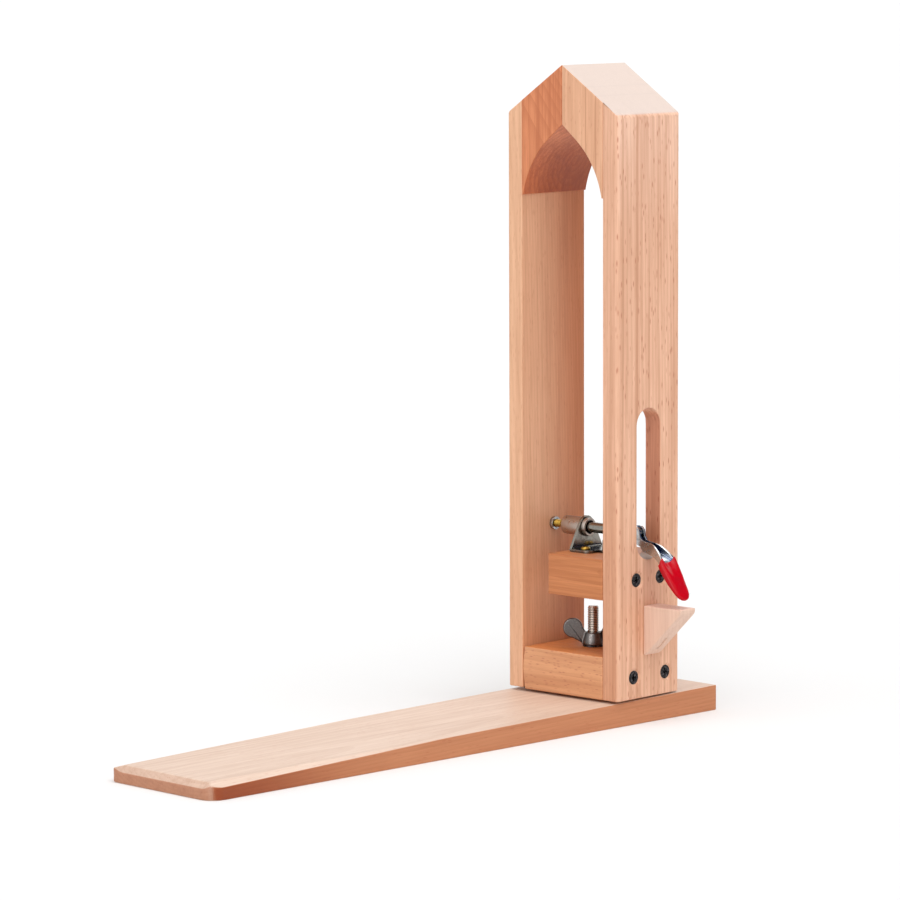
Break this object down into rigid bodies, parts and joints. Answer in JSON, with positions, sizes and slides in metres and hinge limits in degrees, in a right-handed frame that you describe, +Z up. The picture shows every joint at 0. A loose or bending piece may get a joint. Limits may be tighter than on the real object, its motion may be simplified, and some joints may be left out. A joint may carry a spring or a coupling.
{
  "type": "leather stitching clamp",
  "caption": "Sit-on wooden board with an upright arched clamp head on a swivel, a fixed and a rocking jaw, and a push-pull toggle lever that opens the rocking jaw.",
  "frame": {"origin": "centre of the board's underside", "axes": "+X along the board towards the clamp head, +Y across it towards the moving jaw, +Z up"},
  "size_m": [0.48, 0.1395, 0.4622],
  "materials": {
    "beech_board": "oiled beech, flat sawn",
    "beech_head": "oiled beech, fine straight grain",
    "beech_end_grain": "oiled beech, redder and darker",
    "beech_pale": "pale beech",
    "zinc_steel": "bright zinc plating",
    "nickel_steel": "turned and plated, satin",
    "yellow_zinc": "yellow chromated zinc",
    "dark_cast_iron": "dark cast, slightly rough",
    "black_screw": "black oxide",
    "black_washer": "matte",
    "red_vinyl": "glossy dipped vinyl"
  },
  "bodies": {
    "base": {"base_board": "beech_board", "swivel_bolt": "zinc_steel", "spacer_washer": "black_washer"},
    "nut_collar": {"nut_washer": "black_screw"},
    "wing_nut": {"wing_nut": "dark_cast_iron"},
    "head": {"bottom_block": "beech_head", "cross_block": "beech_head", "fixed_jaw_board": "beech_head", "fixed_jaw_head": "beech_head", "stop_wedge": "beech_pale", "jaw_screws_upper": "black_screw", "jaw_screws_lower": "black_screw", "rocker_screws": "black_screw", "clamp_bracket": "zinc_steel", "guide_barrel": "nickel_steel", "bracket_screws": "yellow_zinc", "link_pin": "zinc_steel"},
    "moving_jaw": {"moving_jaw_board": "beech_head", "moving_jaw_head": "beech_end_grain", "insert_nut": "zinc_steel", "spindle": "yellow_zinc"},
    "plunger": {"plunger": "nickel_steel", "plunger_pin": "zinc_steel"},
    "lever": {"handle_lever": "zinc_steel", "lever_rivets": "zinc_steel", "handle_grip": "red_vinyl"},
    "links": {"toggle_link_left": "zinc_steel", "toggle_link_right": "zinc_steel"}
  },
  "joints": [
    {"name": "head_swivel", "type": "hinge", "parent": "base", "child": "head", "pos_m": [0.165, 0, 0.01868], "axis": [0, 0, 1], "continuous": true},
    {"name": "nut_turn", "type": "hinge", "parent": "base", "child": "nut_collar", "pos_m": [0.165, 0, 0.05], "axis": [0, 0, 1], "range_deg": [0, 1080]},
    {"name": "nut_rise", "type": "slide", "parent": "nut_collar", "child": "wing_nut", "axis": [0, 0, 1], "range_m": [0, 0.00375]},
    {"name": "handle_swing", "type": "hinge", "parent": "plunger", "child": "lever", "pos_m": [0.16713, -0.04058, 0.13438], "axis": [-0.9986, -0.0523, 0], "range_deg": [0, 100]},
    {"name": "plunger_slide", "type": "slide", "parent": "head", "child": "plunger", "axis": [-0.0523, 0.9986, 0], "range_m": [0, 0.00876]},
    {"name": "jaw_rock", "type": "hinge", "parent": "head", "child": "moving_jaw", "pos_m": [0.16304, 0.03745, 0.03398], "axis": [-0.9986, -0.0523, 0], "range_deg": [0, 5]},
    {"name": "link_swing", "type": "hinge", "parent": "head", "child": "links", "pos_m": [0.166, -0.01911, 0.12548], "axis": [0.9986, 0.0523, 0], "range_deg": [0, 5.11]}
  ],
  "couplings": [
    {"joint": "nut_rise", "follows": "nut_turn", "m_per_rad": 0.00019894},
    {"joint": "plunger_slide", "follows": "handle_swing", "m_per_rad": 0.00502},
    {"joint": "jaw_rock", "follows": "handle_swing", "ratio": 0.05},
    {"joint": "link_swing", "follows": "handle_swing", "ratio": 0.051102}
  ]
}
